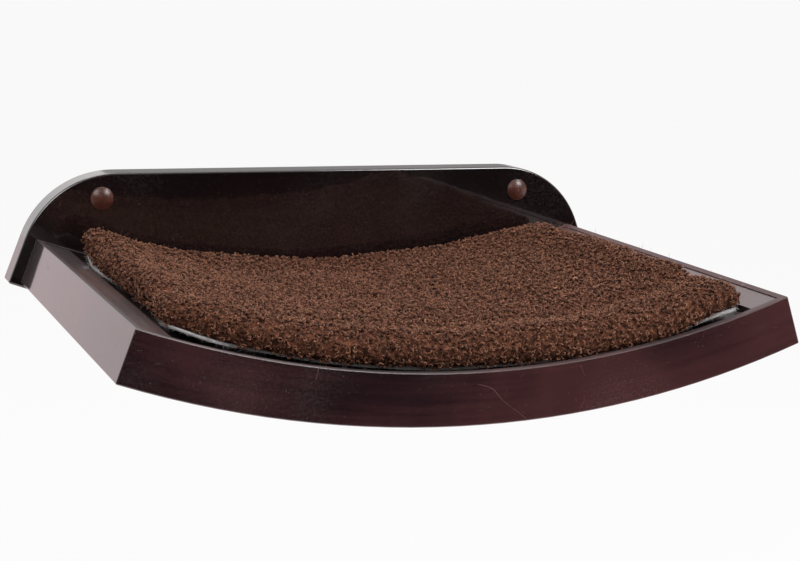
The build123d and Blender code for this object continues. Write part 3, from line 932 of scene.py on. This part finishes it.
finer = cover.modifiers.new("finer", "SUBSURF")
finer.levels = finer.render_levels = 1
make_real(cover)
cover_points = points_of(cover.data)
cover_normals = np.empty(len(cover_points) * 3, np.float32)
cover.data.vertices.foreach_get("normal", cover_normals)
cover_normals = cover_normals.reshape(-1, 3)
raised = cover_points + cover_normals * (lumps(cover_points) * LUMP_HEIGHT)[:, None]
raised = above_felt(clear_of_wood(raised), 0.0001)
cover.data.vertices.foreach_set("co", raised.astype(np.float32).ravel())
cover.data.polygons.foreach_set("use_smooth", np.ones(len(cover.data.polygons), bool))
cover.data.update()
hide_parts("pad_cover")
print("cover now has", len(cover.data.polygons), "faces")

# %% [markdown]
# ## The curly pile
#
# Each curl is a lock of wool: a thin tapered tube of three sides that rises from the cloth
# and winds round as it goes, like a corkscrew that gets narrower. About sixteen thousand of
# them make the pile. They are spread evenly by area, lean towards the top of the nearest lump
# and together in soft gusts, and differ in length, thickness and tone; curls on the tops of
# lumps are painted lighter, a painted highlight. They are kept in four pieces, side by side
# across the pad.

# %% Where the curls stand
SEED = 20
CURL_PIECES = 4
CURLS = 16400
CURL_RINGS = 7
UPHILL_STEP = 0.0004


def roots_on(mesh, count, keep, random):
    """Points and normals spread over a mesh's triangles in proportion to their area.

    Equal steps along the running sum of the areas pick the triangles, and each root gets a
    random place in its own. keep says for each triangle's middle and normal if it has wool.
    """
    mesh.calc_loop_triangles()
    three = np.empty(len(mesh.loop_triangles) * 3, np.int32)
    mesh.loop_triangles.foreach_get("vertices", three)
    a, b, c = (points_of(mesh)[three.reshape(-1, 3)[:, i]] for i in range(3))
    across = np.cross(b - a, c - a)
    area = np.linalg.norm(across, axis=1)
    normal = across / np.maximum(area, 1e-12)[:, None]
    total = np.cumsum(area * keep((a + b + c) / 3.0, normal))
    pick = np.searchsorted(total, (np.arange(count) + random.random(count)) * total[-1] / count)
    pick = np.minimum(pick, len(area) - 1)
    u, v = random.random((2, count, 1))
    flip = u + v > 1.0
    u, v = np.where(flip, 1.0 - u, u), np.where(flip, 1.0 - v, v)
    return a[pick] + u * (b - a)[pick] + v * (c - a)[pick], normal[pick]


def has_wool(middle, normal):
    """Wool grows on the top and sides, down to a little above the felt."""
    x, y, z = middle.T
    over_felt = z - height_on_curve(x, curled_up(x, y))
    return (over_felt > 0.0012) & (normal[:, 2] > -0.9)


def uphill(points):
    """The way up the nearest lump, as differences of the lumps a small step to either side."""
    steps = np.eye(3) * UPHILL_STEP
    return np.stack([lumps(points + step) - lumps(points - step) for step in steps], -1)


def gusts(points):
    """A slowly turning sideways lean for the wool at each point."""
    x, y = points[:, 0], points[:, 1]
    way = 3.0 * np.sin(38.0 * x + 17.0 * y) + 2.2 * np.sin(55.0 * y - 29.0 * x + 1.0)
    return np.stack([np.cos(way), np.sin(way), 0.0 * way], -1)


def unit(vectors):
    return vectors / np.maximum(np.linalg.norm(vectors, axis=-1, keepdims=True), 1e-9)


random = np.random.default_rng(SEED)
roots, root_normals = roots_on(cover.data, CURLS, has_wool, random)
print("roots:", len(roots))

# %% The curls themselves
SIDE_TURN = np.arange(3) * 2 * np.pi / 3
CURL_WIDTH = 0.00135  # from the corkscrew's axis to its centre line, at the root
CURL_CLIMB = 0.0044
CURL_SUNK = 0.0006  # how deep its first point lies in the cloth
CURL_THICK = 0.00088


def tubes(centre, radius, reference):
    """Points of three-sided tubes along centre lines, one row of the arrays for each tube.

    A tube's section is three points round the centre line, in the plane across its course.
    """
    course = unit(np.gradient(centre, axis=1))
    side = unit(np.cross(course, reference))
    up = np.cross(side, course)
    turn = SIDE_TURN[None, None, :, None]
    ring = np.cos(turn) * side[:, :, None] + np.sin(turn) * up[:, :, None]
    return centre[:, :, None] + ring * radius[:, :, None, None]


def tube_faces(count, rings):
    """Faces of count tubes of three sides: quads along them and a triangle at each end."""
    row, turn = np.meshgrid(np.arange(rings - 1), np.arange(3), indexing="ij")
    after = (turn + 1) % 3
    here, beside = row * 3 + turn, row * 3 + after
    quads = np.stack([here, beside, beside + 3, here + 3], -1).reshape(-1, 4)
    last = (rings - 1) * 3
    ends = np.array([[2, 1, 0], [last, last + 1, last + 2]])
    shift = np.arange(count)[:, None, None] * rings * 3
    return [(quads + shift).reshape(-1, 4), (ends + shift).reshape(-1, 3)]


def wool_piece(name, points, tone, finish):
    """A mesh of tubes with the wool's own map: the tube's tone across, root to tip upwards.

    Each side has a small shift of its own in the map, so that no face has zero width there.
    """
    count, rings = points.shape[:2]
    mesh = mesh_from(name, points.reshape(-1, 3), tube_faces(count, rings))
    shift = np.array([[0.0, 0.0], [0.006, 0.0], [0.003, 0.006]])
    place = np.zeros((count, rings, 3, 2))
    place[..., 0] = 0.01 + 0.97 * tone[:, None, None]
    place[..., 1] = np.linspace(0.0, 0.98, rings)[None, :, None]
    place += shift
    corners = np.empty(len(mesh.loops), np.int32)
    mesh.loops.foreach_get("vertex_index", corners)
    layer = mesh.uv_layers.new(name=CURL_MAP)
    layer.data.foreach_set("uv", place.reshape(-1, 2)[corners].astype(np.float32).ravel())
    new_piece(name, mesh, finish, "pad")
    print(name, "has", count, "tubes,", len(mesh.polygons), "faces")


def curl_points(root, normal, random):
    """Centre lines of the curls and their radius.

    A curl climbs along its lean while it winds about it: a corkscrew whose width shrinks from
    root to tip. Its first point lies just inside the cloth.
    """
    count = len(root)
    share = np.linspace(0.0, 1.0, CURL_RINGS)[None, :, None]
    size = random.uniform(0.75, 1.25, (count, 1, 1))
    lean = normal + 1.1 * unit(uphill(root)) + 0.45 * gusts(root)
    lean = unit(lean + 0.4 * random.normal(size=(count, 3)))[:, None]
    side = unit(np.cross(lean, random.normal(size=(count, 1, 3))))
    other = np.cross(lean, side)
    hand = random.choice([-1.0, 1.0], (count, 1, 1))
    turns = random.uniform(0.8, 1.35, (count, 1, 1))
    wind = hand * share * 2 * np.pi * turns
    width = CURL_WIDTH * size * (1.0 - 0.35 * share)
    climb = CURL_CLIMB * size * (share - 0.30 * share**2) - CURL_SUNK
    centre = root[:, None] + lean * climb + width * (side * (np.cos(wind) - 1.0) + other * np.sin(wind))
    radius = (CURL_THICK * size * (1.0 - 0.55 * share**1.5))[..., 0]
    return tubes(centre, radius, lean)


curl_shapes = curl_points(roots, root_normals, random)
curl_shapes = clear_of_wood(curl_shapes.reshape(-1, 3)).reshape(curl_shapes.shape)
# Painted highlight: curls on the tops of the lumps get lighter tones, curls between them darker.
hilltop_highlight = 0.5 + 0.5 * lumps(roots)
wide_patch = 0.5 + 0.5 * lumps(roots * 0.3)
tones = 0.34 * random.random(CURLS) + 0.50 * hilltop_highlight + 0.10 * wide_patch + 0.25 * random.random(CURLS) ** 8
tones = np.clip(tones, 0.0, 1.0)
order = np.array_split(np.argsort(roots[:, 0]), CURL_PIECES)
for number, chosen in enumerate(order, 1):
    wool_piece(f"fleece_curls_{number}", curl_shapes[chosen], tones[chosen], fleece_curls)

# %% [markdown]
# ## Loose fibres
#
# Single fibres stand out of the curls as fine pale threads, their pale tone a painted highlight, and the
# cut edge of the felt is fuzzy too. They are the same tubes, much thinner and only slightly bent.

# %% Fibres of the fleece and the felt
FIBRES, FIBRE_REACH, FIBRE_THICK = 2600, 0.0048, 0.00016
FUZZ, FUZZ_REACH, FUZZ_THICK = 3600, 0.0020, 0.00010
FIBRE_RINGS = 5
IN_THE_CURLS = 0.0022  # how high over the cloth a fibre starts
BARE_REAR = 0.035  # strip along the pad's rear edge without fibres


def fibre_points(root, lean, reach, thick, random):
    """Thin tubes that leave along lean and bend sideways as the square of the way along."""
    count = len(root)
    share = np.linspace(0.0, 1.0, FIBRE_RINGS)[None, :, None]
    length = reach * random.uniform(0.6, 1.3, (count, 1, 1))
    bend = random.normal(size=(count, 1, 3)) * 0.55
    centre = root[:, None] + length * (lean[:, None] * share + bend * share**2)
    radius = np.broadcast_to((thick * (1.0 - 0.6 * share))[..., 0], (count, FIBRE_RINGS))
    reference = unit(np.cross(lean, random.normal(size=(count, 3))))[:, None]
    points = tubes(centre, radius, reference)
    return clear_of_wood(points.reshape(-1, 3)).reshape(points.shape)


def has_fibres(middle, normal):
    """Fibres stand where there is wool, but not right against the backboard."""
    return has_wool(middle, normal) & (middle[:, 1] < PAD_REAR - BARE_REAR)


fibre_roots, fibre_normals = roots_on(cover.data, FIBRES, has_fibres, random)
fibre_lean = unit(0.55 * fibre_normals + random.normal(size=(FIBRES, 3)) * (0.8, 0.8, 0.25))
fibre_starts = fibre_roots + IN_THE_CURLS * fibre_normals
fibres = fibre_points(fibre_starts, fibre_lean, FIBRE_REACH, FIBRE_THICK, random)
# Painted highlight: the loose fibres get pale tones, as lit threads.
fibre_highlight_tones = np.clip(random.normal(0.85, 0.15, FIBRES), 0.0, 1.0)
wool_piece("fleece_fibres", fibres, fibre_highlight_tones, fleece_curls)


def is_felt_edge(middle, normal):
    """The felt's rim, where its surface faces sideways."""
    return np.abs(normal[:, 2]) < 0.75


felt_roots, felt_normals = roots_on(felt_base.data, FUZZ, is_felt_edge, random)
felt_lean = unit(felt_normals + 0.8 * random.normal(size=(FUZZ, 3)))
fuzz = fibre_points(felt_roots, felt_lean, FUZZ_REACH, FUZZ_THICK, random)


def felt_fuzz_finish():
    """Pale fibre, slightly darker at the root."""
    material, tree, shader = new_finish("felt_fuzz", Roughness=0.9, Sheen_Weight=0.3)
    place = add(tree, "UVMap", uv_map=CURL_MAP).outputs["UV"]
    split = add(tree, "SeparateXYZ", {0: place}).outputs
    tone = mixed(tree, split["X"], (0.30, 0.285, 0.285), (0.64, 0.615, 0.61))
    shade = step_between(tree, split["Y"], 0.0, 0.6, 0.35, 0.0)
    wire(tree, shader, Base_Color=mixed(tree, shade, tone, (0.25, 0.23, 0.23)))
    return material


wool_piece("felt_fuzz", fuzz, random.random(FUZZ), felt_fuzz_finish())

# %% [markdown]
# ## The studio
#
# A plain pale floor lies under the hammock, and the background is white, as in a product
# photograph. Gloss shows what lies behind the camera and above the piece, so the studio is
# built for the reflections: the pale floor behind the piece, slightly pink to reflections,
# makes the grazing gloss on the left end board, and a black flag in front, which only
# reflections see, keeps the front board dark.

# %% Floor and flag
FLOOR_DROP = 0.36
FLOOR_HALF = 60.0
FLAG_Y, FLAG_HALF, FLAG_TOP = -1.0, 1.4, 0.12
OWN_LIGHT = 0.92  # share of the floor's look that is its own light


def bare_tree(block):
    """The node tree of a material or a world, emptied."""
    block.use_nodes = True
    block.node_tree.nodes.clear()
    return block.node_tree


def flat_sheet(name, corners, finish):
    mesh = bpy.data.meshes.new(name)
    mesh.from_pydata(corners, [], [tuple(range(len(corners)))])
    mesh.materials.append(finish)
    sheet = bpy.data.objects.new(name, mesh)
    scene.collection.objects.link(sheet)
    return sheet


def floor_finish():
    """Pale matt floor. For the camera and for reflections most of its light is its own, so that
    it reads as a white background and still keeps a soft shadow. From below it is clear."""
    material = bpy.data.materials.new("studio_floor")
    tree = bare_tree(material)
    matt = add(tree, "BsdfDiffuse", {"Color": (0.80, 0.80, 0.80, 1.0)}).outputs[0]
    path = add(tree, "LightPath").outputs
    away = add(tree, "SeparateXYZ", {0: straight_place(tree)}).outputs["Y"]
    # Only reflections see this: the floor is pink to them, and dimmer from 0.35 m to 1.6 m behind the
    # wall's line, a painted reflection.
    warm = mixed(tree, path["Is Glossy Ray"], (1.0, 1.0, 1.0), (1.0, 0.83, 0.85))
    near = sums(tree, "MULTIPLY", path["Is Glossy Ray"], step_between(tree, away, 0.35, 1.6, 0.0, 0.28))
    white = add(tree, "Emission", {"Color": warm, "Strength": sums(tree, "SUBTRACT", 1.0, near)}).outputs[0]
    seen = sums(tree, "MAXIMUM", path["Is Camera Ray"], path["Is Glossy Ray"])
    seen = sums(tree, "MAXIMUM", seen, path["Is Transmission Ray"])
    glow = sums(tree, "MULTIPLY", seen, OWN_LIGHT)
    own = add(tree, "MixShader", {0: glow, 1: matt, 2: white}).outputs[0]
    clear = add(tree, "BsdfTransparent").outputs[0]
    below = add(tree, "NewGeometry").outputs["Backfacing"]
    both = add(tree, "MixShader", {0: below, 1: own, 2: clear}).outputs[0]
    add(tree, "OutputMaterial", {"Surface": both})
    return material


def flag_finish():
    material = bpy.data.materials.new("black_flag")
    tree = bare_tree(material)
    black = add(tree, "Emission", {"Strength": 0.0}).outputs[0]
    add(tree, "OutputMaterial", {"Surface": black})
    return material


floor_z = cad_box[0].z - FLOOR_DROP
square = ((-1, -1), (1, -1), (1, 1), (-1, 1))
floor_corners = [(x * FLOOR_HALF, y * FLOOR_HALF, floor_z) for x, y in square]
flat_sheet("floor", floor_corners, floor_finish())
flag_corners = [(x * FLAG_HALF, FLAG_Y, FLAG_TOP if up > 0 else floor_z) for x, up in square]
flag = flat_sheet("black_flag", flag_corners, flag_finish())
flag.visible_camera = flag.visible_diffuse = flag.visible_transmission = False
flag.visible_shadow = flag.visible_volume_scatter = False
print("floor at z =", round(floor_z, 3))

# %% Lamps and air
LAMPS = {  # name: place, width, watts
    "key_softbox": ((0.95, -1.15, 0.95), 0.7, 17.0),
    "fill_softbox": ((-1.1, -1.3, 1.1), 1.1, 14.0),
    "top_softbox": ((0.1, 0.2, 1.7), 1.4, 14.0),
}
AIR = 0.40  # strength of the light from all round
WHITE = (1.0, 1.0, 1.0, 1.0)

target = Vector((0.0, -0.2, -0.05))
for name, (place, width, watts) in LAMPS.items():
    lamp = bpy.data.lights.new(name, "AREA")
    lamp.shape, lamp.size, lamp.energy = "SQUARE", width, watts
    holder = bpy.data.objects.new(name, lamp)
    holder.location = place
    holder.rotation_euler = (target - holder.location).to_track_quat("-Z", "Y").to_euler()
    scene.collection.objects.link(holder)

air = bpy.data.worlds.new("studio_air")
scene.world = air
tree = bare_tree(air)
way = add(tree, "SeparateXYZ", {0: add(tree, "TexCoord").outputs["Generated"]}).outputs
path = add(tree, "LightPath").outputs
back = step_between(tree, way["Y"], -0.35, 0.35, 0.30, 1.0)
back = sums(tree, "MULTIPLY", back, step_between(tree, way["Z"], 0.08, 0.45, 0.74, 1.0))
seen = sums(tree, "MAXIMUM", path["Is Camera Ray"], path["Is Transmission Ray"])
lit = add(tree, "Background", {"Color": WHITE, "Strength": AIR}).outputs[0]
shown = add(tree, "Background", {"Color": WHITE, "Strength": 1.0}).outputs[0]
mirrored = add(tree, "Background", {"Color": (1.0, 0.96, 0.965, 1.0), "Strength": back}).outputs[0]
some = add(tree, "MixShader", {0: path["Is Glossy Ray"], 1: lit, 2: mirrored}).outputs[0]
every = add(tree, "MixShader", {0: seen, 1: some, 2: shown}).outputs[0]
add(tree, "OutputWorld", {"Surface": every})
print("lamps:", ", ".join(LAMPS))

# %% [markdown]
# ## The construction's size
#
# The dressed piece has to be as large as the construction says, apart from the pile that may
# stand a little proud. The construction's box is printed.

# %% Sizes
print("construction", [tuple(round(v, 4) for v in corner) for corner in cad_box])
